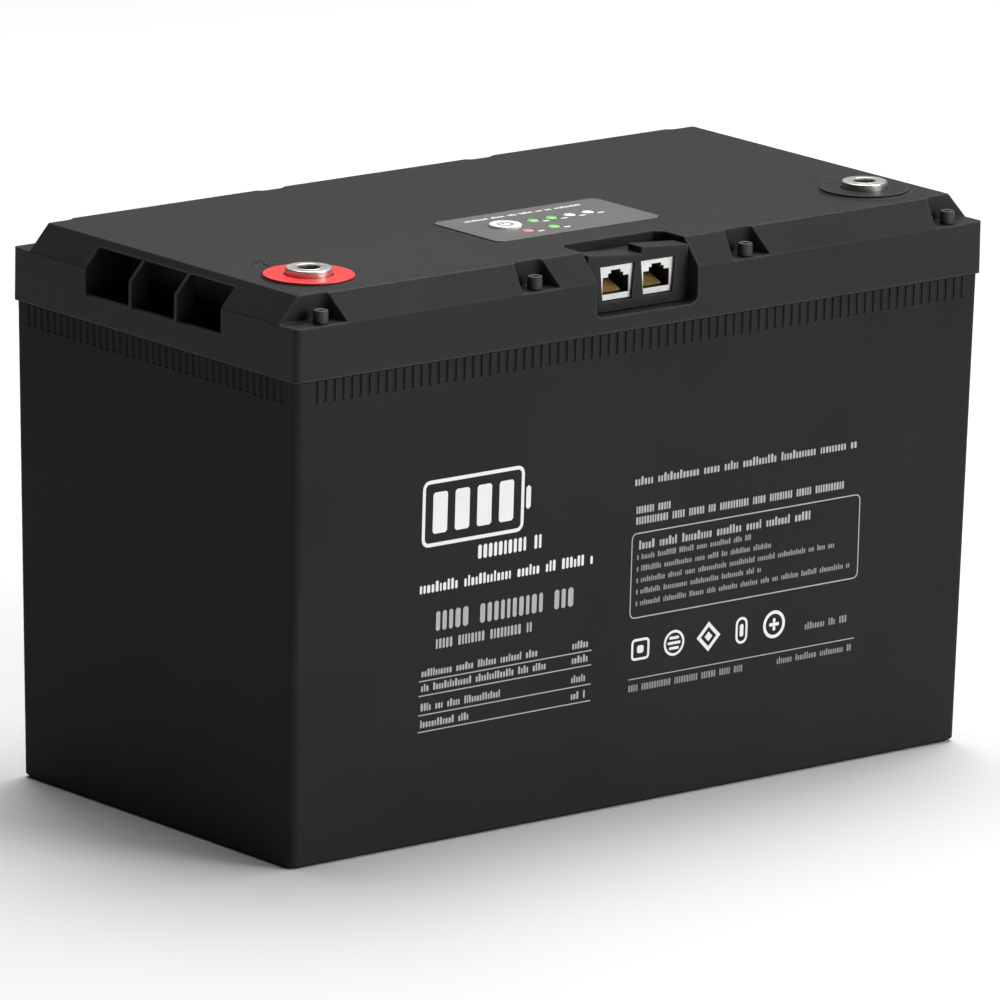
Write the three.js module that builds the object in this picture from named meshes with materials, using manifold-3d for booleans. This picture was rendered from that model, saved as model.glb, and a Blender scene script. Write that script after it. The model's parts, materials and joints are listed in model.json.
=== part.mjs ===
// Deep cycle lithium battery in a screwed plastic case, built piece by piece.
// Millimetres, +Z up, +X along the long side, -Y is the front with the data sockets.
// The origin is the middle of the footprint, at the surface that the case stands on.
import * as THREE from 'three';
import { mergeVertices } from 'three/addons/utils/BufferGeometryUtils.js';
import Module from 'manifold-3d';

const wasm = await Module();
wasm.setup();

// ---------------------------------------------------------------- driving dimensions

const GAP = 0.3; // clearance between pieces that touch
const LID_LENGTH = 330;
const LID_WIDTH = 172;
const LID_TOP = 213.6;
const RIM_TOP = 203.8; // where the upright skirt meets the sloped rim
const SKIRT_FOOT = 183.6;
const RIM_SETBACK = 8.8; // how far the slope leans in
const LID_WALL = 3;
const CASE_SETBACK = 0.7; // how far the case stands behind the skirt
const CASE_TAPER = 3; // how far each case wall leans in towards its foot
const CASE_WALL = 3;
const CASE_TOP = SKIRT_FOOT - GAP;
const CORNER_RADIUS = 2.5;
const FLANGE = { halfX: 154, halfY: 75, height: 6, corner: 4 }; // inward flange that the lid seals on
const GASKET = { halfX: 158, halfY: 79, width: 1.8, height: 1.5, grooveDepth: 1.8 };
const SLOT = { pitch: 4.026, width: 2, foot: 175, depth: 0.8, alongFront: 78, alongEnd: 39 };
const SCREW = { endX: 150.5, innerX: 50.5, y: 81.6, headRadius: 2.9, headHeight: 4.8, shankRadius: 1.5 };
const SCREW_POCKET = { innerHalf: 9.3, cornerFrom: 141, back: 75.6, radius: 4.5 };
const SCREW_PILLAR = { y: 79.5, halfY: 6.5, innerHalfX: 12, cornerHalfX: 13.5 }; // solid lid round a screw
const SCREW_BOSS = { y: 79.7, halfX: 5, halfY: 3.2, depth: 18, holeDepth: 14 }; // solid case round a screw
const GRIP = { halfWidth: 41, ceiling: 210.7, lip: 193.5, floor: 186.6, depth: 22, wall: 2.2 };
const GRIP_RIB = { y: 13.75, thickness: 1.6, depth: 8 };
const BAY = { halfWidth: 24.3, back: 62.7, floor: 190, front: 80.2, wall: 3, corner: 3.5 };
const PORT_ROOF = { left: 212.6, stepX: 1.5, stepFoot: 210.4, stepTop: 213, right: 211.3, backHalf: 209.6 };
const PORT_WINDOW = { skin: 0.9, footHalf: 6.9, topHalf: 8.3 }; // tapered opening in front of each socket
const SOCKET = { x: 9.75, z: 200.8, width: 16.4, height: 12.8, depth: 16 };
const SOCKET_MOUTH = { halfWidth: 6.2, below: 4.2, above: 2.2, depth: 13 };
const LATCH_NOTCH = { halfWidths: [3.6, 2.3], rises: [1.4, 2.6] }; // two steps above a socket's mouth
const SOCKET_INSERT_BACK = -59.2;
const PORT_BOARD = { halfX: 22, front: -58.7, foot: 189.5, top: 209.5 };
const TERMINAL = { x: 133.6, y: -52.8, top: 217.4, shoulder: 211.5, foot: 188.8 };
const TERMINAL_RADII = { flange: 8.7, body: 6.5, bore: 3.4 };
const LOCK_NUT = { radius: 10.5, foot: 192.4, top: 198.7 };
const SEAL = { middle: 7.75, radius: 0.7, z: 210.5 };
const RING = { inner: 9.1, outer: 16.9, thickness: 0.5 };
const BOSS = { rise: 0.5, margin: 0.7, neckRadius: 12.5, neckFoot: 199 }; // lid round each terminal
const POLARITY_MARK = { y: -26, arm: 5.4, halfStroke: 0.9, rise: 0.35 };
const PANEL = { y: -26.4, halfX: 39.5, halfY: 20.2, radius: 4, depth: 0.6 };
const WINDOW = { halfX: 32, halfY: 14.5 };
const BUTTON = { x: -20, y: -26.4, radius: 6.2, rise: 0.9, travel: 0.5 };
const LED = { pitch: 8.8, frontPitch: 12.4, firstX: -4.8, backY: -24, frontY: -36.4, radius: 2.5 };
const BOARD_THICKNESS = 1.6;
const INDICATOR_BOARD = { top: 206, halfX: 37.5, halfY: 16 };
const SWITCH_HEIGHT = 4.2;
const CELL = { thickness: 49.5, width: 146, height: 120, foot: 8.3 };
const CELL_POST = { y: 52, radius: 7.5, height: 2.5 };
const SPACER_THICKNESS = 0.8;
const END_PLATE_THICKNESS = 3;
const END_FOAM_OUTER = 156;
const BASE_FOAM = { halfX: 154, halfY: 75 };
const TOP_FOAM = { halfX: 88, front: -34, back: 68, foot: 158, top: 178 };
const STRAP = { height: 12, thickness: 0.8, lowerFoot: 32, upperFoot: 92 };
const BUS_BAR = { width: 20, thickness: 1.6 };
const TRAY = { halfX: 96, halfY: 40, foot: 136, thickness: 2 };
const MANAGEMENT_BOARD = { halfX: 80, halfY: 38, foot: 144 };
const HEAT_PLATE = { halfX: 60, halfY: 30, height: 7, fins: 9 };
const LEAD_RADIUS = 3.2;
const LUG = { top: 188.5, thickness: 2, radius: 7.5 };

const cellPitch = CELL.thickness + SPACER_THICKNESS + 2 * GAP;
const cellTop = CELL.foot + CELL.height;
const packHalfX = 1.5 * cellPitch + CELL.thickness / 2;
const busBarFoot = cellTop + CELL_POST.height + GAP;
const caseHalfX = LID_LENGTH / 2 - CASE_SETBACK;
const caseHalfY = LID_WIDTH / 2 - CASE_SETBACK;

// ---------------------------------------------------------------- solids

// Turns a closed three.js geometry into a solid that can be cut and joined.
function solid(geometry) {
  const bare = geometry.index ? geometry.toNonIndexed() : geometry.clone();
  bare.deleteAttribute('normal');
  bare.deleteAttribute('uv');
  const merged = mergeVertices(bare, 1e-4);
  const corners = merged.index.array;
  const kept = [];
  for (let i = 0; i < corners.length; i += 3) {
    const [a, b, c] = corners.subarray(i, i + 3);
    if (a !== b && b !== c && c !== a) kept.push(a, b, c);
  }
  const vertProperties = new Float32Array(merged.attributes.position.array);
  return new wasm.Manifold(new wasm.Mesh({ numProp: 3, vertProperties, triVerts: new Uint32Array(kept) }));
}

function join(...solids) {
  return solids.reduce((whole, piece) => whole.add(piece));
}

function cut(whole, ...tools) {
  return tools.reduce((rest, tool) => rest.subtract(tool), whole);
}

function box(x0, x1, y0, y1, z0, z1) {
  const geometry = new THREE.BoxGeometry(x1 - x0, y1 - y0, z1 - z0);
  geometry.translate((x0 + x1) / 2, (y0 + y1) / 2, (z0 + z1) / 2);
  return solid(geometry);
}

function blockAt(x, y, halfX, halfY, z0, z1) {
  return box(x - halfX, x + halfX, y - halfY, y + halfY, z0, z1);
}

function upright(radius, z0, z1, x = 0, y = 0, segments = 24) {
  const geometry = new THREE.CylinderGeometry(radius, radius, z1 - z0, segments);
  geometry.rotateX(Math.PI / 2);
  geometry.translate(x, y, (z0 + z1) / 2);
  return solid(geometry);
}

// Revolves a closed outline of [radius, height] points about an upright axis.
function turned(outline, x, y, segments = 28) {
  const points = outline.map(([radius, height]) => new THREE.Vector2(radius, height));
  const geometry = new THREE.LatheGeometry(points, segments);
  geometry.rotateX(Math.PI / 2);
  geometry.translate(x, y, 0);
  return solid(geometry);
}

function roundedRectangle(halfX, halfY, radius) {
  const shape = new THREE.Shape();
  shape.moveTo(-halfX + radius, -halfY);
  shape.lineTo(halfX - radius, -halfY);
  shape.absarc(halfX - radius, -halfY + radius, radius, -Math.PI / 2, 0, false);
  shape.lineTo(halfX, halfY - radius);
  shape.absarc(halfX - radius, halfY - radius, radius, 0, Math.PI / 2, false);
  shape.lineTo(-halfX + radius, halfY);
  shape.absarc(-halfX + radius, halfY - radius, radius, Math.PI / 2, Math.PI, false);
  shape.lineTo(-halfX, -halfY + radius);
  shape.absarc(-halfX + radius, -halfY + radius, radius, Math.PI, 1.5 * Math.PI, false);
  return shape;
}

function plate(shape, z0, z1, curveSegments = 4) {
  const geometry = new THREE.ExtrudeGeometry(shape, { depth: z1 - z0, bevelEnabled: false, curveSegments });
  geometry.translate(0, 0, z0);
  return solid(geometry);
}

// A rounded block whose walls lean in by a stated amount at each stated height.
function leaning(halfX, halfY, radius, levels, curveSegments = 4) {
  const steps = levels.length - 1;
  const settings = { depth: steps, steps, bevelEnabled: false, curveSegments };
  const geometry = new THREE.ExtrudeGeometry(roundedRectangle(halfX, halfY, radius), settings);
  const position = geometry.attributes.position;
  for (let i = 0; i < position.count; i += 1) {
    const [height, setback] = levels[Math.round(position.getZ(i))];
    const x = position.getX(i);
    const y = position.getY(i);
    position.setXYZ(i, x - Math.sign(x) * setback, y - Math.sign(y) * setback, height);
  }
  return solid(geometry);
}

function smoothCurve(points) {
  const places = points.map((point) => new THREE.Vector3(...point));
  return new THREE.CatmullRomCurve3(places, false, 'centripetal');
}

// A tube along a smooth curve through the given points.
function tube(radius, points, sides = 8, steps = 18) {
  const section = new THREE.Shape();
  section.absarc(0, 0, radius, 0, 2 * Math.PI, false);
  const settings = { steps, extrudePath: smoothCurve(points), bevelEnabled: false, curveSegments: sides };
  return solid(new THREE.ExtrudeGeometry(section, settings));
}

// A flat strip along a smooth curve, with its broad side kept level across the run.
function ribbon(width, thickness, points, steps = 20) {
  const section = new THREE.Shape();
  section.moveTo(-width / 2, -thickness / 2);
  section.lineTo(width / 2, -thickness / 2);
  section.lineTo(width / 2, thickness / 2);
  section.lineTo(-width / 2, thickness / 2);
  const settings = { steps, extrudePath: smoothCurve(points), bevelEnabled: false };
  return solid(new THREE.ExtrudeGeometry(section, settings));
}

// ---------------------------------------------------------------- materials and nodes

const FINISHES = {
  caseBlack: { color: 0x1b1b1c, roughness: 0.5, metalness: 0 },
  lidBlack: { color: 0x1e1e1f, roughness: 0.48, metalness: 0 },
  screwBlack: { color: 0x2b2b2c, roughness: 0.4, metalness: 0.6 },
  platedMetal: { color: 0xc8c6bd, roughness: 0.25, metalness: 1 },
  red: { color: 0xd2231f, roughness: 0.35, metalness: 0 },
  panelGrey: { color: 0x85817f, roughness: 0.45, metalness: 0 },
  white: { color: 0xe4e3df, roughness: 0.4, metalness: 0 },
  clear: { color: 0xd8e6dc, roughness: 0.15, metalness: 0 },
  board: { color: 0x1f5a34, roughness: 0.5, metalness: 0 },
  socketSteel: { color: 0xbfc0bf, roughness: 0.3, metalness: 1 },
  socketBlack: { color: 0x121213, roughness: 0.45, metalness: 0 },
  gold: { color: 0xd6a63a, roughness: 0.25, metalness: 1 },
  cellBlue: { color: 0x2c5f9e, roughness: 0.4, metalness: 0 },
  insulation: { color: 0xe0dccb, roughness: 0.6, metalness: 0 },
  aluminium: { color: 0xb4b7ba, roughness: 0.35, metalness: 1 },
  copper: { color: 0xb87043, roughness: 0.3, metalness: 1 },
  foam: { color: 0x3a3a3c, roughness: 0.9, metalness: 0 },
  rubber: { color: 0x161616, roughness: 0.75, metalness: 0 },
};

const battery = new THREE.Group();

function add(name, finish, shape) {
  const { vertProperties, triVerts } = shape.getMesh();
  const geometry = new THREE.BufferGeometry();
  geometry.setAttribute('position', new THREE.BufferAttribute(vertProperties, 3));
  geometry.setIndex(new THREE.BufferAttribute(triVerts, 1));
  geometry.computeVertexNormals();
  const mesh = new THREE.Mesh(geometry, new THREE.MeshStandardMaterial(FINISHES[finish]));
  mesh.name = name;
  battery.add(mesh);
}

// ---------------------------------------------------------------- lid screws: places shared by case and lid

const screwPlaces = [];
for (const side of [-1, 1]) {
  for (const x of [-SCREW.endX, -SCREW.innerX, SCREW.innerX, SCREW.endX]) {
    screwPlaces.push({ x, y: side * SCREW.y, side, corner: Math.abs(x) === SCREW.endX });
  }
}

// ---------------------------------------------------------------- case

function caseSetbackAt(z) {
  return CASE_TAPER * (1 - z / CASE_TOP);
}

// The clear opening inside the case's flange.
function flangeMouth(z0, z1) {
  return plate(roundedRectangle(FLANGE.halfX, FLANGE.halfY, FLANGE.corner), z0, z1, 2);
}

function caseSlots() {
  const reach = 6;
  const top = CASE_TOP + 1;
  const slots = [];
  for (const side of [-1, 1]) {
    for (let i = 0; i < SLOT.alongFront; i += 1) {
      const x = (i - (SLOT.alongFront - 1) / 2) * SLOT.pitch;
      const y = side * (caseHalfY - SLOT.depth + reach / 2);
      slots.push(blockAt(x, y, SLOT.width / 2, reach / 2, SLOT.foot, top));
    }
    for (let i = 0; i < SLOT.alongEnd; i += 1) {
      const y = (i - (SLOT.alongEnd - 1) / 2) * SLOT.pitch;
      const x = side * (caseHalfX - SLOT.depth + reach / 2);
      slots.push(blockAt(x, y, reach / 2, SLOT.width / 2, SLOT.foot, top));
    }
  }
  return wasm.Manifold.union(slots);
}

function makeCase() {
  const footChamfer = 1.3;
  const outer = leaning(caseHalfX, caseHalfY, CORNER_RADIUS + 1, [
    [0, CASE_TAPER + footChamfer],
    [footChamfer, caseSetbackAt(footChamfer)],
    [CASE_TOP, 0],
  ]);
  const flangeFoot = CASE_TOP - FLANGE.height;
  const inner = leaning(caseHalfX - CASE_WALL, caseHalfY - CASE_WALL, CORNER_RADIUS, [
    [CASE_WALL, caseSetbackAt(CASE_WALL)],
    [flangeFoot, caseSetbackAt(flangeFoot)],
  ], 2);
  const mouth = flangeMouth(flangeFoot - 1, CASE_TOP + 1);
  const grooveFoot = CASE_TOP - GASKET.grooveDepth;
  const groove = cut(
    plate(roundedRectangle(GASKET.halfX + GAP, GASKET.halfY + GAP, 4), grooveFoot, CASE_TOP + 1, 3),
    plate(roundedRectangle(GASKET.halfX - GASKET.width - GAP, GASKET.halfY - GASKET.width - GAP, 3),
      grooveFoot - 1, CASE_TOP + 2, 3),
  );
  const bosses = screwPlaces.map(({ x, side }) => blockAt(x, side * SCREW_BOSS.y, SCREW_BOSS.halfX,
    SCREW_BOSS.halfY, CASE_TOP - SCREW_BOSS.depth, flangeFoot + 1));
  const holes = screwPlaces.map(({ x, y }) => (
    upright(SCREW.shankRadius + GAP, CASE_TOP - SCREW_BOSS.holeDepth, CASE_TOP + 1, x, y, 12)));
  const shell = cut(outer, inner, mouth);
  return cut(join(shell, ...bosses), groove, caseSlots(), ...holes);
}

add('case', 'caseBlack', makeCase());

// ---------------------------------------------------------------- lid

function lidOuter() {
  return leaning(LID_LENGTH / 2, LID_WIDTH / 2, CORNER_RADIUS, [
    [SKIRT_FOOT, 0],
    [RIM_TOP, 0],
    [LID_TOP, RIM_SETBACK],
  ]);
}

function lidHollow() {
  const slopeLength = Math.hypot(RIM_SETBACK, LID_TOP - RIM_TOP);
  const ceiling = LID_TOP - LID_WALL;
  const shift = (LID_WALL * (slopeLength - RIM_SETBACK)) / (LID_TOP - RIM_TOP);
  const slopeFoot = RIM_TOP - shift;
  const ceilingSetback = ((ceiling - slopeFoot) * RIM_SETBACK) / (LID_TOP - RIM_TOP);
  const seatThickness = 4;
  const seatTop = SKIRT_FOOT + seatThickness;
  const hollow = leaning(LID_LENGTH / 2 - LID_WALL, LID_WIDTH / 2 - LID_WALL, 1.5, [
    [seatTop, 0],
    [slopeFoot, 0],
    [ceiling, ceilingSetback],
  ], 2);
  return join(hollow, flangeMouth(SKIRT_FOOT - 1, seatTop + 1));
}

// A pocket that opens outwards, with upright walls, splayed sides and a rounded back.
function screwPocket({ x, side, corner }) {
  const { innerHalf, cornerFrom, back, radius } = SCREW_POCKET;
  const beyond = LID_WIDTH / 2 + 2;
  const splay = 2;
  const flare = 0.4;
  const bend = splay + 0.3;
  const outer = LID_LENGTH / 2 + 2;
  const shape = new THREE.Shape();
  const left = corner ? Math.sign(x) * cornerFrom : x - innerHalf;
  const right = corner ? Math.sign(x) * outer : x + innerHalf;
  const way = Math.sign(right - left);
  shape.moveTo(left - way * flare, beyond);
  shape.lineTo(left + way * splay, back + radius);
  shape.quadraticCurveTo(left + way * bend, back, left + way * (splay + radius), back);
  if (corner) {
    shape.lineTo(right, back);
    shape.lineTo(right, beyond);
  } else {
    shape.lineTo(right - way * (splay + radius), back);
    shape.quadraticCurveTo(right - way * bend, back, right - way * splay, back + radius);
    shape.lineTo(right + way * flare, beyond);
  }
  const depth = 20;
  const geometry = new THREE.ExtrudeGeometry(shape, { depth, bevelEnabled: false, curveSegments: 4 });
  if (side < 0) {
    geometry.rotateX(Math.PI);
    geometry.translate(0, 0, depth);
  }
  geometry.translate(0, 0, RIM_TOP);
  return solid(geometry);
}

// Three finger openings at one end, divided by two short ribs, with a lip along the outside.
function gripHollow(side) {
  const { halfWidth, ceiling, lip, floor, depth } = GRIP;
  const end = LID_LENGTH / 2;
  const innerFace = end - depth;
  const ribBack = end - GRIP_RIB.depth;
  const span = (near, far) => [Math.min(side * near, side * far), Math.max(side * near, side * far)];
  const slab = (near, far, y0, y1, z0, z1) => box(...span(near, far), y0, y1, z0, z1);
  const hollow = join(
    slab(innerFace, end - LID_WALL, -halfWidth, halfWidth, floor, ceiling),
    slab(end - LID_WALL - 1, end + 2, -halfWidth, halfWidth, lip, ceiling),
  );
  const ribs = [-1, 1].map((way) => {
    const nearY = way * GRIP_RIB.y - GRIP_RIB.thickness / 2;
    return slab(ribBack, end + 3, nearY, nearY + GRIP_RIB.thickness, floor - 1, ceiling + 1);
  });
  return cut(hollow, ...ribs);
}

function gripHousing(side) {
  const end = LID_LENGTH / 2;
  const inner = end - GRIP.depth - GRIP.wall;
  const halfY = GRIP.halfWidth + GRIP.wall;
  return box(Math.min(side * inner, side * end), Math.max(side * inner, side * end), -halfY, halfY,
    SKIRT_FOOT, LID_TOP);
}

// The well that holds the data sockets, and the slot behind it for their board.
// The rounding left in a lower corner of the bay, in front of the socket housing.
function bayCorner(side, front) {
  const { halfWidth, floor, corner } = BAY;
  const outline = new THREE.Shape();
  outline.moveTo(side * (halfWidth + 1), floor - 1);
  outline.lineTo(side * (halfWidth + 1), floor + corner);
  outline.lineTo(side * halfWidth, floor + corner);
  outline.absarc(side * (halfWidth - corner), floor + corner, corner, side > 0 ? 0 : Math.PI,
    1.5 * Math.PI, side > 0);
  outline.lineTo(side * (halfWidth - corner), floor - 1);
  return drawnAlongY(outline, front, -BAY.front - GAP);
}

function bayHollow() {
  const cornerCut = 3.2;
  const slotHalfX = 18.4;
  const slotFoot = 193.6;
  const slotTop = 208;
  const mouth = new THREE.Shape();
  const front = -LID_WIDTH / 2 - 2;
  mouth.moveTo(-BAY.halfWidth, front);
  mouth.lineTo(BAY.halfWidth, front);
  mouth.lineTo(BAY.halfWidth, -BAY.back - cornerCut);
  mouth.lineTo(BAY.halfWidth - cornerCut, -BAY.back);
  mouth.lineTo(-BAY.halfWidth + cornerCut, -BAY.back);
  mouth.lineTo(-BAY.halfWidth, -BAY.back - cornerCut);
  const roundings = [-1, 1].map((side) => bayCorner(side, front));
  const well = cut(plate(mouth, BAY.floor, LID_TOP + 2), ...roundings);
  const boardSlot = box(-slotHalfX, slotHalfX, -BAY.back - 1, -BAY.back + BAY.wall + 1, slotFoot, slotTop);
  return join(well, boardSlot);
}

function polarityMark(sign) {
  const { y, arm, halfStroke, rise } = POLARITY_MARK;
  const x = sign * TERMINAL.x;
  const level = [LID_TOP - 1, LID_TOP + rise];
  const bar = blockAt(x, y, arm, halfStroke, ...level);
  return sign < 0 ? join(bar, blockAt(x, y, halfStroke, arm, ...level)) : bar;
}

function makeLid() {
  const bodyWithin = lidOuter();
  const pillars = screwPlaces.map(({ x, side, corner }) => {
    const halfX = corner ? SCREW_PILLAR.cornerHalfX : SCREW_PILLAR.innerHalfX;
    const middle = corner ? Math.sign(x) * (LID_LENGTH / 2 - halfX) : x;
    return blockAt(middle, side * SCREW_PILLAR.y, halfX, SCREW_PILLAR.halfY, SKIRT_FOOT, LID_TOP);
  });
  const bayBlock = box(-BAY.halfWidth - BAY.wall, BAY.halfWidth + BAY.wall, -LID_WIDTH / 2,
    -BAY.back + BAY.wall, SKIRT_FOOT, LID_TOP);
  const blocks = join(gripHousing(-1), gripHousing(1), bayBlock, ...pillars).intersect(bodyWithin);
  const bosses = [-1, 1].flatMap((sign) => [
    upright(BOSS.neckRadius, BOSS.neckFoot, LID_TOP - 1, sign * TERMINAL.x, TERMINAL.y, 24),
    upright(RING.outer + BOSS.margin, LID_TOP - 1, LID_TOP + BOSS.rise, sign * TERMINAL.x, TERMINAL.y, 36),
    polarityMark(sign),
  ]);
  const standoff = { radius: 2.2, x: 35, y: 11 };
  const standoffs = [-1, 1].flatMap((sx) => [-1, 1].map((sy) => upright(standoff.radius,
    INDICATOR_BOARD.top + GAP, LID_TOP - 1, sx * standoff.x, PANEL.y + sy * standoff.y, 10)));
  const terminalHoles = [-1, 1].flatMap((sign) => {
    const x = sign * TERMINAL.x;
    return [
      upright(TERMINAL_RADII.flange + GAP, TERMINAL.shoulder - 2, LID_TOP + 2, x, TERMINAL.y, 28),
      upright(TERMINAL_RADII.body + GAP, TERMINAL.foot, LID_TOP + 2, x, TERMINAL.y, 28),
    ];
  });
  const seat = plate(roundedRectangle(PANEL.halfX + GAP, PANEL.halfY + GAP, PANEL.radius),
    LID_TOP - PANEL.depth, LID_TOP + 1).translate([0, PANEL.y, 0]);
  const window = blockAt(0, PANEL.y, WINDOW.halfX, WINDOW.halfY, LID_TOP - LID_WALL - 1, LID_TOP + 1);
  const screwHoles = screwPlaces.map(({ x, y }) => (
    upright(SCREW.shankRadius + GAP, SKIRT_FOOT - 1, RIM_TOP + 1, x, y, 12)));
  return cut(
    join(cut(bodyWithin, lidHollow()), blocks, ...bosses, ...standoffs),
    gripHollow(-1),
    gripHollow(1),
    bayHollow(),
    seat,
    window,
    ...screwPlaces.map(screwPocket),
    ...screwHoles,
    ...terminalHoles,
  );
}

add('lid', 'lidBlack', makeLid());

// ---------------------------------------------------------------- gasket and lid screws

add('lid_gasket', 'rubber', cut(
  plate(roundedRectangle(GASKET.halfX, GASKET.halfY, 3.7), CASE_TOP - GASKET.height, CASE_TOP, 3),
  plate(roundedRectangle(GASKET.halfX - GASKET.width, GASKET.halfY - GASKET.width, 3.3),
    CASE_TOP - GASKET.height - 1, CASE_TOP + 1, 3),
));

function lidScrew({ x, y }) {
  const headFoot = RIM_TOP + GAP;
  const headTop = headFoot + SCREW.headHeight;
  const shankFoot = CASE_TOP - 13;
  const edge = 0.4;
  const outline = [
    [0, shankFoot],
    [SCREW.shankRadius, shankFoot + 1],
    [SCREW.shankRadius, headFoot],
    [SCREW.headRadius, headFoot],
    [SCREW.headRadius, headTop - edge],
    [SCREW.headRadius - edge, headTop],
    [0, headTop],
  ];
  const hexagonRadius = 1.6;
  const socketDepth = 2.4;
  return cut(turned(outline, x, y, 14), upright(hexagonRadius, headTop - socketDepth, headTop + 1, x, y, 6));
}

screwPlaces.forEach((place) => {
  const row = place.side < 0 ? 'front' : 'back';
  const column = ['left_end', 'left', 'right', 'right_end'][
    [-SCREW.endX, -SCREW.innerX, SCREW.innerX, SCREW.endX].indexOf(place.x)];
  add(`lid_screw_${row}_${column}`, 'screwBlack', lidScrew(place));
});

// ---------------------------------------------------------------- terminals

const TERMINALS = [
  { name: 'positive', sign: -1, ringFinish: 'red' },
  { name: 'negative', sign: 1, ringFinish: 'lidBlack' },
];

function terminalPost(x) {
  const { top, shoulder, foot, y } = TERMINAL;
  const { flange, body, bore } = TERMINAL_RADII;
  const boreFoot = top - 15;
  const edge = 0.6;
  const leadIn = 0.9;
  return turned([
    [0, foot],
    [body, foot],
    [body, shoulder],
    [flange, shoulder],
    [flange, top - edge],
    [flange - edge, top],
    [bore + leadIn, top],
    [bore, top - leadIn],
    [bore, boreFoot],
    [0, boreFoot - 1.5],
  ], x, y);
}

function washer(inner, outer, z0, z1, x, y, segments = 32) {
  return turned([[inner, z0], [outer, z0], [outer, z1], [inner, z1], [inner, z0]], x, y, segments);
}

function sealRing(x, y) {
  const sides = 8;
  const outline = [];
  for (let i = 0; i < sides; i += 1) {
    const angle = (i / sides) * 2 * Math.PI;
    outline.push([SEAL.middle + SEAL.radius * Math.cos(angle), SEAL.z + SEAL.radius * Math.sin(angle)]);
  }
  return turned([...outline, outline[0]], x, y, 24);
}

for (const { name, sign, ringFinish } of TERMINALS) {
  const x = sign * TERMINAL.x;
  const ringFoot = LID_TOP + BOSS.rise + GAP;
  add(`${name}_terminal`, 'platedMetal', terminalPost(x));
  add(`${name}_ring`, ringFinish, washer(RING.inner, RING.outer, ringFoot, ringFoot + RING.thickness, x,
    TERMINAL.y, 40));
  add(`${name}_seal`, 'rubber', sealRing(x, TERMINAL.y));
  add(`${name}_lock_nut`, 'platedMetal', cut(
    upright(LOCK_NUT.radius, LOCK_NUT.foot, LOCK_NUT.top, x, TERMINAL.y, 6),
    upright(TERMINAL_RADII.body + GAP, LOCK_NUT.foot - 1, LOCK_NUT.top + 1, x, TERMINAL.y, 24),
  ));
}

// ---------------------------------------------------------------- status panel, button and light guide

const ledPlaces = [0, 1, 2, 3].map((i) => [LED.firstX + i * LED.pitch, LED.backY]);
ledPlaces.push([LED.firstX - LED.frontPitch, LED.frontY], [LED.firstX, LED.frontY]);

function makePanel() {
  const foot = LID_TOP - PANEL.depth + GAP;
  const outline = roundedRectangle(PANEL.halfX, PANEL.halfY, PANEL.radius - GAP);
  return cut(
    plate(outline, foot, foot + PANEL.depth).translate([0, PANEL.y, 0]),
    upright(BUTTON.radius + GAP, foot - 1, foot + 2, BUTTON.x, BUTTON.y, 28),
    ...ledPlaces.map(([x, y]) => upright(LED.radius + GAP, foot - 1, foot + 2, x, y, 12)),
  );
}

add('status_panel', 'panelGrey', makePanel());

const panelTop = LID_TOP + GAP;
const boardTop = INDICATOR_BOARD.top;
const switchTop = boardTop + SWITCH_HEIGHT;

// A cap with a flange that holds it under the panel, and a stem that presses the switch.
function statusButton() {
  const { radius, rise, travel } = BUTTON;
  const stemRadius = 1.6;
  const stemFoot = switchTop + travel + 0.2;
  const flangeRadius = radius + 1.2;
  const flangeFoot = panelTop - 1.9;
  const flangeTop = panelTop - 1.2;
  const capTop = panelTop + rise;
  return turned([
    [0, stemFoot],
    [stemRadius, stemFoot],
    [stemRadius, flangeFoot],
    [flangeRadius, flangeFoot],
    [flangeRadius, flangeTop],
    [radius, flangeTop],
    [radius, capTop - 0.4],
    [radius - 0.6, capTop],
    [0, capTop],
  ], BUTTON.x, BUTTON.y, 28);
}

add('status_button', 'white', statusButton());

add('button_switch', 'socketBlack', join(
  blockAt(BUTTON.x, BUTTON.y, 3, 3, boardTop + GAP, switchTop - 0.8),
  upright(1.7, switchTop - 1, switchTop, BUTTON.x, BUTTON.y, 12),
));

add('light_guide', 'clear', cut(
  join(
    box(LED.firstX - LED.frontPitch - 3.8, LED.firstX + 3 * LED.pitch + 3.4, LED.frontY - 3, LED.backY + 3.4,
      boardTop + 1.4, boardTop + 2.6),
    ...ledPlaces.map(([x, y]) => upright(LED.radius, boardTop + 2, panelTop, x, y, 12)),
  ),
  upright(5.4, boardTop, boardTop + 4, BUTTON.x, BUTTON.y, 16),
));

add('indicator_board', 'board', join(
  blockAt(0, PANEL.y, INDICATOR_BOARD.halfX, INDICATOR_BOARD.halfY, boardTop - BOARD_THICKNESS, boardTop),
  ...ledPlaces.map(([x, y]) => blockAt(x, y, 1.4, 1.2, boardTop - 0.5, boardTop + 0.9)),
));

// ---------------------------------------------------------------- data sockets

// Outline of a modular socket's mouth, with its stepped latch notch at the top.
function socketMouth(x) {
  const { halfWidth, below, above } = SOCKET_MOUTH;
  const [wide, narrow] = LATCH_NOTCH.halfWidths;
  const foot = SOCKET.z - below;
  const shoulder = SOCKET.z + above;
  const [firstTop, secondTop] = LATCH_NOTCH.rises.map((rise) => shoulder + rise);
  const rightSide = [
    [halfWidth, foot],
    [halfWidth, shoulder],
    [wide, shoulder],
    [wide, firstTop],
    [narrow, firstTop],
    [narrow, secondTop],
  ];
  const leftSide = rightSide.map(([across, height]) => [-across, height]).reverse();
  return new THREE.Shape([...rightSide, ...leftSide].map(([across, height]) => (
    new THREE.Vector2(x + across, height))));
}

// Extrudes an outline drawn in X and Z from one Y to another.
function drawnAlongY(shape, y0, y1) {
  const geometry = new THREE.ExtrudeGeometry(shape, { depth: y1 - y0, bevelEnabled: false });
  geometry.rotateX(Math.PI / 2);
  geometry.translate(0, y1, 0);
  return solid(geometry);
}

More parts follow.
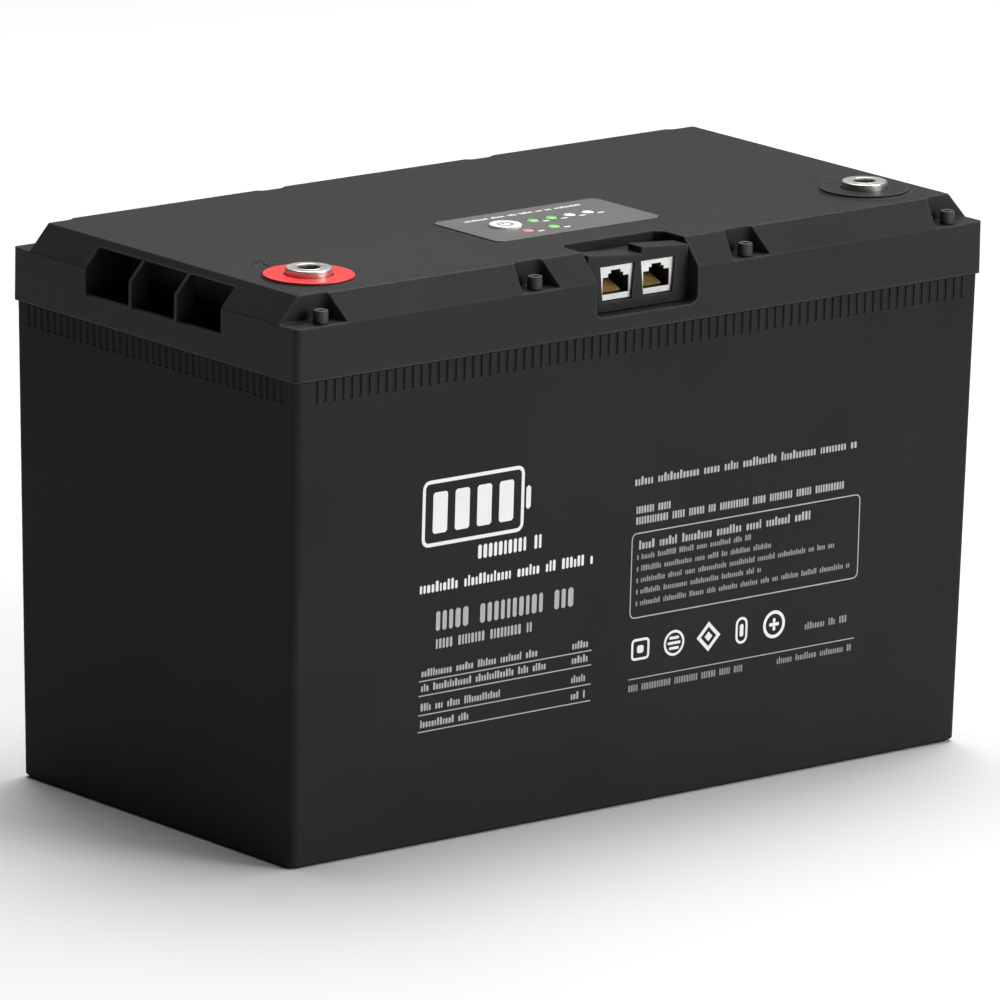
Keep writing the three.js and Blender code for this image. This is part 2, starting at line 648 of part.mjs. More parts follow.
const faceY = -BAY.front;
const socketFront = faceY + PORT_WINDOW.skin + GAP;

function socketShell(x) {
  const { width, height, depth, z } = SOCKET;
  const sheet = 0.6;
  const back = socketFront + depth;
  const tin = box(x - width / 2, x + width / 2, socketFront, back, z - height / 2, z + height / 2);
  const inside = box(x - width / 2 + sheet, x + width / 2 - sheet, socketFront + sheet, back + 1,
    z - height / 2 + sheet, z + height / 2 - sheet);
  return cut(tin, inside, drawnAlongY(socketMouth(x), socketFront - 1, socketFront + 2));
}

function socketInsert(x) {
  const { width, height, z } = SOCKET;
  const inset = 0.9;
  const front = socketFront + inset;
  const block = box(x - width / 2 + inset, x + width / 2 - inset, front, SOCKET_INSERT_BACK,
    z - height / 2 + inset, z + height / 2 - inset);
  return cut(block, drawnAlongY(socketMouth(x), front - 1, front + SOCKET_MOUTH.depth));
}

// Eight spring wires that rise from the mouth's floor to a comb at its back.
function socketContacts(x) {
  const pitch = 1.02;
  const count = 8;
  const wireLength = 11.2;
  const wireWidth = 0.64;
  const tilt = 0.4;
  const combHalfX = 4;
  const combDepth = 1;
  const rootInset = 0.4;
  const back = socketFront + SOCKET_MOUTH.depth;
  const foot = SOCKET.z - SOCKET_MOUTH.below + GAP;
  const rise = wireLength * Math.sin(tilt);
  const comb = box(x - combHalfX, x + combHalfX, back - combDepth, back, foot, foot + rise + 2 * wireWidth);
  const wires = [];
  for (let i = 0; i < count; i += 1) {
    const wire = new THREE.BoxGeometry(wireWidth, wireLength, wireWidth);
    wire.translate(0, -wireLength / 2, 0);
    wire.rotateX(tilt);
    wire.translate(x + (i - (count - 1) / 2) * pitch, back - rootInset, foot + rise + wireWidth / 2);
    wires.push(solid(wire));
  }
  return join(comb, ...wires);
}

// The opening in the housing's front skin, narrower at its foot, and the straight pocket behind it.
function socketPocket(x, back) {
  const { skin, footHalf, topHalf } = PORT_WINDOW;
  const halfX = SOCKET.width / 2 + GAP;
  const foot = SOCKET.z - SOCKET.height / 2 - GAP;
  const top = SOCKET.z + SOCKET.height / 2 + GAP;
  const corners = [[-footHalf, foot], [footHalf, foot], [topHalf, top], [-topHalf, top]];
  const window = new THREE.Shape(corners.map(([across, height]) => new THREE.Vector2(x + across, height)));
  return join(drawnAlongY(window, faceY - 1, faceY + skin + 1),
    box(x - halfX, x + halfX, faceY + skin, back, foot, top));
}

function portHousing() {
  const halfWidth = BAY.halfWidth - GAP;
  const back = -BAY.back - GAP;
  const foot = BAY.floor + GAP;
  const cornerCut = 3.4;
  const backHalfFront = -72;
  const { left, stepX, stepFoot, stepTop, right, backHalf } = PORT_ROOF;
  const roof = new THREE.Shape();
  roof.moveTo(-halfWidth, foot);
  roof.lineTo(halfWidth, foot);
  roof.lineTo(halfWidth, right);
  roof.lineTo(stepX, stepTop);
  roof.lineTo(stepX, stepFoot);
  roof.lineTo(-halfWidth, left);
  const blockOutline = new THREE.Shape();
  blockOutline.moveTo(-halfWidth, faceY);
  blockOutline.lineTo(halfWidth, faceY);
  blockOutline.lineTo(halfWidth, back - cornerCut);
  blockOutline.lineTo(halfWidth - cornerCut, back);
  blockOutline.lineTo(-halfWidth + cornerCut, back);
  blockOutline.lineTo(-halfWidth, back - cornerCut);
  const block = plate(blockOutline, foot - 1, LID_TOP + 1).intersect(drawnAlongY(roof, faceY - 1, back + 1));
  const roofStep = box(-halfWidth - 1, halfWidth + 1, backHalfFront, back + 1, backHalf, LID_TOP + 1);
  const pockets = [-1, 1].map((side) => socketPocket(side * SOCKET.x, back + 1));
  return cut(block, roofStep, ...pockets);
}

add('port_housing', 'lidBlack', portHousing());
for (const [name, side] of [['left', -1], ['right', 1]]) {
  const x = side * SOCKET.x;
  add(`socket_shell_${name}`, 'socketSteel', socketShell(x));
  add(`socket_insert_${name}`, 'socketBlack', socketInsert(x));
  add(`socket_contacts_${name}`, 'gold', socketContacts(x));
}
add('port_board', 'board', box(-PORT_BOARD.halfX, PORT_BOARD.halfX, PORT_BOARD.front,
  PORT_BOARD.front + BOARD_THICKNESS, PORT_BOARD.foot, PORT_BOARD.top));

// ---------------------------------------------------------------- cell pack

function cell(x) {
  const can = plate(roundedRectangle(CELL.thickness / 2, CELL.width / 2, 3), CELL.foot, cellTop, 2)
    .translate([x, 0, 0]);
  const posts = [-1, 1].map((side) => (
    upright(CELL_POST.radius, cellTop - 1, cellTop + CELL_POST.height, x, side * CELL_POST.y, 16)));
  const ventRadius = 6;
  const vent = upright(ventRadius, cellTop - 1, cellTop + 0.5, x, 0, 16);
  return join(can, ...posts, vent);
}

const cellPlaces = [0, 1, 2, 3].map((i) => (i - 1.5) * cellPitch);
cellPlaces.forEach((x, i) => add(`cell_${i + 1}`, 'cellBlue', cell(x)));

for (let i = 0; i < 3; i += 1) {
  const x = (cellPlaces[i] + cellPlaces[i + 1]) / 2;
  add(`cell_spacer_${i + 1}`, 'insulation', blockAt(x, 0, SPACER_THICKNESS / 2, CELL.width / 2 - 1,
    CELL.foot + 1, cellTop - 1));
  const side = i === 1 ? -1 : 1;
  add(`bus_bar_${i + 1}`, 'aluminium', plate(
    roundedRectangle(cellPitch / 2 + BUS_BAR.width / 2, BUS_BAR.width / 2, 4), busBarFoot,
    busBarFoot + BUS_BAR.thickness, 3).translate([x, side * CELL_POST.y, 0]));
}

for (const [name, side] of [['left', -1], ['right', 1]]) {
  const x = side * (packHalfX + GAP + END_PLATE_THICKNESS / 2);
  add(`end_plate_${name}`, 'aluminium', blockAt(x, 0, END_PLATE_THICKNESS / 2, CELL.width / 2, CELL.foot + 1,
    cellTop - 1));
  const foamInner = packHalfX + 2 * GAP + END_PLATE_THICKNESS + STRAP.thickness + GAP;
  const foamHalfX = (END_FOAM_OUTER - foamInner) / 2;
  add(`end_foam_${name}`, 'foam', blockAt(side * (foamInner + foamHalfX), 0, foamHalfX, CELL.width / 2 - 2,
    CELL.foot, cellTop));
}

const strapHalfX = packHalfX + 2 * GAP + END_PLATE_THICKNESS;
const strapHalfY = CELL.width / 2 + GAP;
for (const [name, z] of [['lower', STRAP.lowerFoot], ['upper', STRAP.upperFoot]]) {
  add(`pack_strap_${name}`, 'insulation', cut(
    plate(roundedRectangle(strapHalfX + STRAP.thickness, strapHalfY + STRAP.thickness, 2), z,
      z + STRAP.height, 2),
    plate(roundedRectangle(strapHalfX, strapHalfY, 0.4), z - 1, z + STRAP.height + 1, 1),
  ));
}

add('base_foam', 'foam', blockAt(0, 0, BASE_FOAM.halfX, BASE_FOAM.halfY, CASE_WALL + GAP, CELL.foot - GAP));

// ---------------------------------------------------------------- management board and its carrier

function makeTray() {
  const top = TRAY.foot + TRAY.thickness;
  const leg = { x: 76, y: 26, half: 4 };
  const post = { x: 72, y: 30, radius: 4 };
  const legs = [-1, 1].flatMap((sx) => [-1, 1].map((sy) => (
    blockAt(sx * leg.x, sy * leg.y, leg.half, leg.half, cellTop + GAP, TRAY.foot + 1))));
  const posts = [-1, 1].flatMap((sx) => [-1, 1].map((sy) => (
    upright(post.radius, top - 1, MANAGEMENT_BOARD.foot - GAP, sx * post.x, sy * post.y, 12))));
  return join(blockAt(0, 0, TRAY.halfX, TRAY.halfY, TRAY.foot, top), ...legs, ...posts);
}

add('board_tray', 'lidBlack', makeTray());

const managementTop = MANAGEMENT_BOARD.foot + BOARD_THICKNESS;
add('management_board', 'board', join(
  blockAt(0, 0, MANAGEMENT_BOARD.halfX, MANAGEMENT_BOARD.halfY, MANAGEMENT_BOARD.foot, managementTop),
  ...[-1, 1].map((side) => blockAt(side * 69, 0, 5, 20, managementTop - 1, managementTop + 4)),
));

function makeHeatPlate() {
  const foot = managementTop + GAP;
  const top = foot + HEAT_PLATE.height;
  const groove = 3.2;
  const pitch = (2 * HEAT_PLATE.halfY) / HEAT_PLATE.fins;
  const grooves = [];
  for (let i = 1; i < HEAT_PLATE.fins; i += 1) {
    const y = -HEAT_PLATE.halfY + i * pitch;
    grooves.push(blockAt(0, y, HEAT_PLATE.halfX + 1, groove / 2, foot + 2, top + 1));
  }
  return cut(blockAt(0, 0, HEAT_PLATE.halfX, HEAT_PLATE.halfY, foot, top), ...grooves);
}

add('heat_plate', 'aluminium', makeHeatPlate());

add('top_foam', 'foam', box(-TOP_FOAM.halfX, TOP_FOAM.halfX, TOP_FOAM.front, TOP_FOAM.back, TOP_FOAM.foot,
  TOP_FOAM.top));

// ---------------------------------------------------------------- leads, harness and ribbons

const [firstCell, lastCell] = [cellPlaces[0], cellPlaces[3]];

function lug(x, y) {
  return upright(LUG.radius, LUG.top - LUG.thickness, LUG.top, x, y, 16);
}

add('positive_lead', 'red', join(
  blockAt(firstCell - 4, -CELL_POST.y, 12, 8, busBarFoot, busBarFoot + BUS_BAR.thickness),
  tube(LEAD_RADIUS, [
    [firstCell - 6, -CELL_POST.y, busBarFoot + 2.4],
    [firstCell - 14, -CELL_POST.y, 146],
    [firstCell - 38, -54, 156],
    [-TERMINAL.x + 4, -54, 168],
    [-TERMINAL.x, TERMINAL.y, LUG.top - 1],
  ]),
  lug(-TERMINAL.x, TERMINAL.y),
));

add('output_negative_lead', 'rubber', join(
  blockAt(84, -8, 8, 5, managementTop + 3, managementTop + 5),
  tube(LEAD_RADIUS, [
    [86, -8, managementTop + 4],
    [98, -16, 152],
    [120, -40, 162],
    [TERMINAL.x - 2, -52, 174],
    [TERMINAL.x, TERMINAL.y, LUG.top - 1],
  ]),
  lug(TERMINAL.x, TERMINAL.y),
));

add('cell_negative_lead', 'rubber', join(
  blockAt(lastCell + 2, -CELL_POST.y, 12, 8, busBarFoot, busBarFoot + BUS_BAR.thickness),
  tube(LEAD_RADIUS, [
    [lastCell + 4, -CELL_POST.y, busBarFoot + 2.4],
    [lastCell + 10, -CELL_POST.y, 142],
    [lastCell + 14, -46, 148],
    [lastCell + 12, -36, 150.5],
    [lastCell + 4, -28, 151.5],
  ], 8, 14),
));

add('balance_harness', 'insulation', ribbon(9, 1, [
  [-81.5, 10, 147],
  [-92, 10, 147.3],
  [-99.5, 10, 143.5],
  [-100.5, 10, 136],
  [-100.2, 10, 130.5],
], 12));

add('port_ribbon', 'insulation', ribbon(14, 0.8, [
  [0, -56.4, 206],
  [0, -55.2, 196],
  [0, -54, 180],
  [0, -48, 158],
  [0, -43, 149],
  [0, -38.8, 147],
], 16));

add('panel_ribbon', 'insulation', ribbon(12, 0.8, [
  [44, -26, 203.6],
  [50, -26, 198],
  [52, -38, 184],
  [52, -46, 164],
  [50, -45, 150],
  [50, -38.8, 147],
], 16));

add('temperature_sensor', 'rubber', tube(1.6, [
  [-cellPitch, 64.5, cellTop + 2.4],
  [-cellPitch, 69, cellTop + 2.6],
  [-cellPitch + 8, 70.5, cellTop + 2.6],
], 8, 6));

export default battery;
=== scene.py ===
"""Looks for the deep cycle battery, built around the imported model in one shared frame.

Shape helpers take millimetres and turn them into metres when a mesh is made.
+X is the long side, -Y is the front with the data sockets, +Z is up.
"""

import json
import math
import random

import bmesh
import bpy
from mathutils import Matrix, Vector


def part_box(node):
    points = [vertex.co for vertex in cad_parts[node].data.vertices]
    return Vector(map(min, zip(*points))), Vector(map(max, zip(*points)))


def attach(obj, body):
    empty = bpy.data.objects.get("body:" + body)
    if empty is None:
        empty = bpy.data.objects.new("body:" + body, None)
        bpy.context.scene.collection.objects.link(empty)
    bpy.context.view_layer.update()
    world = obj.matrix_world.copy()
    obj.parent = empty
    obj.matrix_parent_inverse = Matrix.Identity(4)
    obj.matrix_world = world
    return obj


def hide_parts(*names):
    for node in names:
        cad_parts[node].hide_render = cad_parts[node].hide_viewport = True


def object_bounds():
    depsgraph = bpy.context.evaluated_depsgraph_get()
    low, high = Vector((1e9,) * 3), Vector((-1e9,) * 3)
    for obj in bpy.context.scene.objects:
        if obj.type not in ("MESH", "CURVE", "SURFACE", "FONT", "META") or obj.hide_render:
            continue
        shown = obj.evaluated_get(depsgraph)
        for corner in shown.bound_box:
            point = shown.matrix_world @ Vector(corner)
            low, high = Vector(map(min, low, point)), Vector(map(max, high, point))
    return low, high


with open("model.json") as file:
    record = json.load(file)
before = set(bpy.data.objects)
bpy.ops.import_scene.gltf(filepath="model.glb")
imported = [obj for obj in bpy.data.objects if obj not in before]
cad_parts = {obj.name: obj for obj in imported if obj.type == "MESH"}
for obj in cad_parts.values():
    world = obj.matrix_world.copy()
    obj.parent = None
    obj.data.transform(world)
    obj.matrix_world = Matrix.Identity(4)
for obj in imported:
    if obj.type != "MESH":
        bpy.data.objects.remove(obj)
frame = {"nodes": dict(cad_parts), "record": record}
cad_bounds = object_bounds()
NODES = frame["nodes"]
MM = 0.001
BODY = "battery"


def box_mm(node):
    """Lowest and highest corner of a CAD node, in millimetres."""
    low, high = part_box(node)
    return low / MM, high / MM


def middle_mm(node):
    low, high = box_mm(node)
    return (low + high) / 2


# ---------------------------------------------------------------- places read from the frame

LID_HIGH = box_mm("lid")[1]
CASE_HIGH = box_mm("case")[1]
PANEL_TOP = box_mm("status_panel")[1].z
PORT_FRONT = box_mm("port_housing")[0].y
POSTS = {name: middle_mm(f"{name}_terminal") for name in ("positive", "negative")}
BUTTON = middle_mm("status_button")
CASE_TOP = CASE_HIGH.z
LID_TOP = 213.6
RIM_TOP = 203.8
CASE_TAPER = 3.0


# ---------------------------------------------------------------- camera


def make_camera():
    """A long lens at the reference view: from the front left, a little above."""
    azimuth = math.radians(-39.17)
    elevation = math.radians(13.615)
    roll = math.radians(1.016)
    distance = 4354.5 * MM
    target = Vector((1.28, 0.0, 100.58)) * MM
    level = math.cos(elevation)
    back = Vector((math.sin(azimuth) * level, -math.cos(azimuth) * level, math.sin(elevation)))
    right = (-back).cross(Vector((0, 0, 1))).normalized()
    up = right.cross(-back)
    turned_right = right * math.cos(roll) + up * math.sin(roll)
    turned_up = up * math.cos(roll) - right * math.sin(roll)
    data = bpy.data.cameras.new("camera")
    data.sensor_width = 36
    data.lens = 414.95
    data.clip_start = 0.1
    data.clip_end = 60
    camera = bpy.data.objects.new("camera", data)
    axes = Matrix((turned_right, turned_up, back)).transposed().to_4x4()
    camera.matrix_world = Matrix.Translation(target + back * distance) @ axes
    bpy.context.scene.collection.objects.link(camera)
    bpy.context.scene.camera = camera


make_camera()


# ---------------------------------------------------------------- material recipes


class Recipe:
    """A node material that is put together step by step."""

    def __init__(self, name):
        self.material = bpy.data.materials.new(name)
        self.material.use_nodes = True
        self.tree = self.material.node_tree
        self.tree.nodes.clear()
        self.shader = self.add("ShaderNodeBsdfPrincipled")
        self.link(self.shader.outputs[0], self.add("ShaderNodeOutputMaterial").inputs[0])
        self.place = self.add("ShaderNodeTexCoord").outputs["Object"]

    def add(self, kind, **settings):
        node = self.tree.nodes.new(kind)
        for key, value in settings.items():
            setattr(node, key, value)
        return node

    def link(self, source, target):
        self.tree.links.new(source, target)

    def set(self, **values):
        for key, value in values.items():
            self.shader.inputs[key.replace("_", " ")].default_value = value

    def stretched(self, scale=(1, 1, 1), location=(0, 0, 0)):
        mapping = self.add("ShaderNodeMapping")
        mapping.inputs["Scale"].default_value = scale
        mapping.inputs["Location"].default_value = location
        self.link(self.place, mapping.inputs["Vector"])
        return mapping.outputs[0]

    def noise(self, scale, detail=2, roughness=0.5, place=None):
        node = self.add("ShaderNodeTexNoise")
        node.inputs["Scale"].default_value = scale
        node.inputs["Detail"].default_value = detail
        node.inputs["Roughness"].default_value = roughness
        self.link(place or self.place, node.inputs["Vector"])
        return node.outputs[0]

    def cells(self, scale):
        node = self.add("ShaderNodeTexVoronoi", feature="F1")
        node.inputs["Scale"].default_value = scale
        self.link(self.place, node.inputs["Vector"])
        return node.outputs["Distance"]

    def rings(self, centre, scale):
        """Turning marks about an upright axis through centre, which is in metres."""
        node = self.add("ShaderNodeTexWave", wave_type="RINGS", rings_direction="Z")
        node.inputs["Scale"].default_value = scale
        node.inputs["Distortion"].default_value = 0.6
        node.inputs["Detail"].default_value = 1
        shift = tuple(-value for value in centre)
        self.link(self.stretched(location=shift), node.inputs["Vector"])
        return node.outputs["Fac"]

    def span(self, value, low, high, to_low=0.0, to_high=1.0):
        node = self.add("ShaderNodeMapRange")
        for name, number in (("From Min", low), ("From Max", high), ("To Min", to_low), ("To Max", to_high)):
            node.inputs[name].default_value = number
        self.link(value, node.inputs["Value"])
        return node.outputs[0]

    def math(self, operation, first, second):
        node = self.add("ShaderNodeMath", operation=operation)
        for socket, value in zip(node.inputs, (first, second)):
            if isinstance(value, (int, float)):
                socket.default_value = value
            else:
                self.link(value, socket)
        return node.outputs[0]

    def mix(self, factor, first, second):
        node = self.add("ShaderNodeMix", data_type="RGBA")
        self.link(factor, node.inputs["Factor"])
        for socket, value in ((node.inputs["A"], first), (node.inputs["B"], second)):
            if isinstance(value, (tuple, list)):
                socket.default_value = (*value, 1)
            else:
                self.link(value, socket)
        return node.outputs["Result"]

    def edges(self, radius):
        """1 on an edge that is tighter than radius, falling to 0 on flat surface."""
        bevel = self.add("ShaderNodeBevel", samples=4)
        bevel.inputs["Radius"].default_value = radius
        dot = self.add("ShaderNodeVectorMath", operation="DOT_PRODUCT")
        self.link(bevel.outputs[0], dot.inputs[0])
        self.link(self.add("ShaderNodeNewGeometry").outputs["Normal"], dot.inputs[1])
        return self.span(dot.outputs["Value"], 0.995, 0.8)

    def bump(self, height, distance, strength=1.0):
        node = self.add("ShaderNodeBump")
        node.inputs["Distance"].default_value = distance
        node.inputs["Strength"].default_value = strength
        self.link(height, node.inputs["Height"])
        self.link(node.outputs[0], self.shader.inputs["Normal"])

    def colour(self, source):
        self.link(source, self.shader.inputs["Base Color"])

    def roughness(self, source):
        self.link(source, self.shader.inputs["Roughness"])


def tint(colour, factor):
    return tuple(min(1.0, part * factor) for part in colour)


def moulded_plastic(name, colour, roughness, specular, edge_wear_and_highlight, grain=0.014):
    """Moulded plastic: spark-eroded grain, slow tone changes, faint rubs and paler edges, part wear and part
    painted highlight.
    """
    recipe = Recipe(name)
    clouds = recipe.noise(14, 3, 0.6)
    fine = recipe.noise(1600, 2, 0.6)
    pits = recipe.cells(1900)
    rubs = recipe.noise(60, 4, 0.7, recipe.stretched((1, 1, 6)))
    body = recipe.mix(recipe.span(clouds, 0.3, 0.7), tint(colour, 0.9), tint(colour, 1.1))
    body = recipe.mix(recipe.span(fine, 0.35, 0.75, 0, 0.35), body, tint(colour, 1.35))
    patches = recipe.span(recipe.noise(180, 3), 0.3, 0.7, 0.5, 1)
    # The edge mask paints the edges paler: partly wear, partly a painted highlight along the rims.
    edge = recipe.math("MULTIPLY", recipe.edges(1.5 * MM), patches)
    recipe.colour(recipe.mix(edge, body, tint(colour, edge_wear_and_highlight)))
    rough = recipe.span(clouds, 0.3, 0.7, roughness - 0.03, roughness + 0.03)
    rough = recipe.math("ADD", rough, recipe.span(rubs, 0.5, 0.75, 0.03, -0.05))
    recipe.roughness(recipe.math("ADD", rough, recipe.span(pits, 0, 0.6, 0.03, -0.02)))
    recipe.bump(recipe.math("ADD", recipe.math("MULTIPLY", pits, 0.6), fine), grain * MM, 0.9)
    recipe.set(Specular_IOR_Level=specular)
    return recipe.material


def turned_metal(name, colour, centre, bore):
    """Plated metal with turning marks about an upright axis, small tarnish spots and a bore painted near
    black as painted shade.
    """
    recipe = Recipe(name)
    roughness = 0.34
    marks = recipe.rings(centre * MM, 620)
    stain = recipe.noise(160, 3, 0.6)
    plate = recipe.mix(recipe.span(stain, 0.45, 0.75), colour, tint(colour, 0.8))
    # Inside the bore radius the plating is painted near black: a painted shade for the deep threaded hole.
    across = recipe.add("ShaderNodeVectorMath", operation="LENGTH")
    axis = (-centre.x * MM, -centre.y * MM, 0)
    recipe.link(recipe.stretched((1, 1, 0), axis), across.inputs[0])
    painted_bore_shade = recipe.span(across.outputs["Value"], bore + 0.05 * MM, bore - 0.15 * MM)
    recipe.colour(recipe.mix(painted_bore_shade, plate, tint(colour, 0.08)))
    rough = recipe.span(stain, 0.3, 0.7, roughness - 0.04, roughness + 0.08)
    recipe.roughness(recipe.math("ADD", rough, recipe.span(marks, 0, 1, -0.02, 0.04)))
    recipe.bump(marks, 0.004 * MM, 0.35)
    recipe.set(Metallic=1.0)
    return recipe.material


def brushed_metal(name, colour, roughness=0.32, along=(1, 1, 40), metallic=1.0):
    """Rolled or brushed sheet: streaks along one direction over slow cloudy tarnish."""
    recipe = Recipe(name)
    streaks = recipe.noise(160, 3, 0.6, recipe.stretched(along))
    clouds = recipe.noise(90, 3, 0.6)
    tone = recipe.mix(recipe.span(clouds, 0.35, 0.7), colour, tint(colour, 0.75))
    recipe.colour(recipe.mix(recipe.span(streaks, 0.4, 0.8, 0, 0.4), tone, tint(colour, 1.15)))
    recipe.roughness(recipe.span(streaks, 0.3, 0.7, roughness - 0.08, roughness + 0.1))
    recipe.bump(streaks, 0.01 * MM, 0.5)
    recipe.set(Metallic=metallic)
    return recipe.material


def smooth_plastic(name, colour, roughness=0.3, coat=0.0, glow=0.0):
    """Smooth plastic or ink: slight tone change, faint ripple and fine scuffs."""
    recipe = Recipe(name)
    clouds = recipe.noise(70, 3, 0.6)
    scuffs = recipe.noise(900, 4, 0.75)
    tone = recipe.mix(recipe.span(clouds, 0.3, 0.7), tint(colour, 0.93), tint(colour, 1.05))
    recipe.colour(recipe.mix(recipe.span(scuffs, 0.55, 0.8, 0, 0.25), tone, tint(colour, 0.8)))
    recipe.roughness(recipe.span(scuffs, 0.3, 0.75, roughness - 0.05, roughness + 0.12))
    recipe.bump(recipe.math("ADD", clouds, recipe.math("MULTIPLY", scuffs, 0.3)), 0.01 * MM, 0.5)
    recipe.set(Coat_Weight=coat, Coat_Roughness=0.15)
    if glow:
        recipe.set(Emission_Color=(*colour, 1), Emission_Strength=glow)
    return recipe.material


def printed_ink(name, colour):
    """Screen-printed ink: a little uneven in cover, with a matt, orange-peel surface."""
    recipe = Recipe(name)
    cover = recipe.noise(1400, 3, 0.7)
    patches = recipe.noise(45, 3, 0.6)
    tone = recipe.mix(recipe.span(patches, 0.3, 0.7), tint(colour, 0.94), colour)
    recipe.colour(recipe.mix(recipe.span(cover, 0.55, 0.85, 0, 0.4), tone, tint(colour, 0.7)))
    recipe.roughness(recipe.span(cover, 0.3, 0.7, 0.5, 0.68))
    recipe.bump(cover, 0.01 * MM, 0.6)
    return recipe.material


def printed_film(name, colour):
    """A printed polycarbonate film: fine velvet grain with a light sheen."""
    recipe = Recipe(name)
    grain = recipe.cells(2600)
    clouds = recipe.noise(35, 3, 0.6)
    recipe.colour(recipe.mix(recipe.span(clouds, 0.3, 0.7), tint(colour, 0.92), tint(colour, 1.07)))
    recipe.roughness(recipe.span(grain, 0, 0.6, 0.46, 0.36))
    recipe.bump(grain, 0.006 * MM, 0.7)
    recipe.set(Coat_Weight=0.15, Coat_Roughness=0.3)
    return recipe.material


def circuit_board(name):
    """Green solder mask over a faint lattice of tracks, with small pale pads."""
    recipe = Recipe(name)
    tracks = recipe.add("ShaderNodeTexBrick")
    tracks.inputs["Scale"].default_value = 260
    tracks.inputs["Mortar Size"].default_value = 0.03
    recipe.link(recipe.place, tracks.inputs["Vector"])
    green, track = (0.012, 0.11, 0.035), (0.03, 0.2, 0.07)
    pads = recipe.span(recipe.cells(420), 0.16, 0.1)
    recipe.colour(recipe.mix(pads, recipe.mix(tracks.outputs["Fac"], green, track), (0.6, 0.6, 0.56)))
    recipe.roughness(recipe.span(recipe.noise(300), 0.3, 0.7, 0.3, 0.45))
    recipe.bump(tracks.outputs["Fac"], 0.03 * MM, 0.6)
    return recipe.material


def closed_foam(name, colour):
    """Closed cell foam: small open bubbles on a dull surface, painted darker in their hollows as painted
    shade.
    """
    recipe = Recipe(name)
    bubbles = recipe.cells(900)
    # The bubble hollows, which the bump sinks, are painted darker: painted shade.
    recipe.colour(recipe.mix(recipe.span(bubbles, 0.1, 0.6), tint(colour, 0.5), tint(colour, 1.3)))
    recipe.roughness(recipe.span(bubbles, 0, 0.6, 0.98, 0.85))
    recipe.bump(bubbles, 0.3 * MM, 0.8)
    return recipe.material


def soft_rubber(name, colour):
    """Matt rubber with a powdery bloom."""
    recipe = Recipe(name)
    bloom = recipe.noise(120, 4, 0.7)
    grain = recipe.noise(1500, 2, 0.6)
    recipe.colour(recipe.mix(recipe.span(bloom, 0.4, 0.8), colour, tint(colour, 2.2)))
    recipe.roughness(recipe.span(bloom, 0.3, 0.7, 0.62, 0.82))
    recipe.bump(grain, 0.02 * MM, 0.7)
    return recipe.material


# The last number of each plastic is the tint of its paler edges, part wear and part painted highlight.
CASE_BLACK = moulded_plastic("case_black", (0.0245, 0.0245, 0.025), 0.56, 0.02, 1.7)
LID_BLACK = moulded_plastic("lid_black", (0.0203, 0.0203, 0.0208), 0.47, 0.12, 3.6)
PORT_BLACK = moulded_plastic("port_black", (0.019, 0.0195, 0.0195), 0.45, 0.12, 3, grain=0.008)
RED = smooth_plastic("ring_red", (0.83, 0.026, 0.028), 0.34)
INK_WHITE = printed_ink("ink_white", (0.86, 0.86, 0.86))
INK_PALE = printed_ink("ink_pale", (0.44, 0.44, 0.44))
INK_GREY = printed_ink("ink_grey", (0.27, 0.27, 0.27))
FILM_GREY = printed_film("film_grey", (0.115, 0.108, 0.104))
BUTTON_WHITE = smooth_plastic("button_white", (0.84, 0.84, 0.83), 0.3)
BUTTON_INK = printed_ink("button_ink", (0.13, 0.13, 0.14))
NICKEL = {
    name: turned_metal(f"nickel_{name}", (0.62, 0.6, 0.57), place, 4.1 * MM) for name, place in POSTS.items()
}
SCREW_STEEL = brushed_metal("screw_steel", (0.05, 0.05, 0.052), 0.5, (1, 1, 1), 0.5)
TINNED = brushed_metal("tinned_sheet", (0.68, 0.68, 0.66), 0.44, (8, 1, 1), 0.7)
GOLD = brushed_metal("contact_gold", (0.9, 0.66, 0.24), 0.5, (1, 8, 1), 0.7)
JACK_BLACK = smooth_plastic("jack_black", (0.012, 0.012, 0.012), 0.42)
LENS = {
    "green": smooth_plastic("lens_green", (0.14, 0.6, 0.14), 0.2, 0.5, 0.14),
    "white": smooth_plastic("lens_white", (0.8, 0.82, 0.8), 0.18, 0.6, 0.1),
    "red": smooth_plastic("lens_red", (0.66, 0.17, 0.15), 0.2, 0.5, 0.1),
}
GUIDE_CLEAR = smooth_plastic("guide_clear", (0.62, 0.68, 0.64), 0.16, 0.4)
BOARD_GREEN = circuit_board("board_green")
CELL_BLUE = smooth_plastic("cell_blue", (0.03, 0.11, 0.34), 0.32)
PALE_SHEET = smooth_plastic("pale_sheet", (0.7, 0.66, 0.52), 0.5)
ALUMINIUM = brushed_metal("mill_aluminium", (0.72, 0.73, 0.75), 0.34, (1, 30, 1))
FOAM = closed_foam("dark_foam", (0.04, 0.04, 0.043))
RUBBER = soft_rubber("black_rubber", (0.014, 0.014, 0.014))

SLOT_LOOKS = {
    "case_plastic": CASE_BLACK,
    "lid_plastic": LID_BLACK,
    "screw_steel": SCREW_STEEL,
    "plated_metal": NICKEL["positive"],
    "red_plastic": RED,
    "panel_face": FILM_GREY,
    "white_plastic": BUTTON_WHITE,
    "clear_plastic": GUIDE_CLEAR,
    "circuit_board": BOARD_GREEN,
    "socket_metal": TINNED,
    "socket_plastic": JACK_BLACK,
    "gold": GOLD,
    "cell_wrap": CELL_BLUE,
    "insulation": PALE_SHEET,
    "aluminium": ALUMINIUM,
    "foam": FOAM,
    "rubber": RUBBER,
}

for part in frame["record"]["subparts"]:
    mesh = NODES[part["node"]].data
    mesh.materials.clear()
    mesh.materials.append(SLOT_LOOKS[part["material_slot"]])


# ---------------------------------------------------------------- mesh helpers


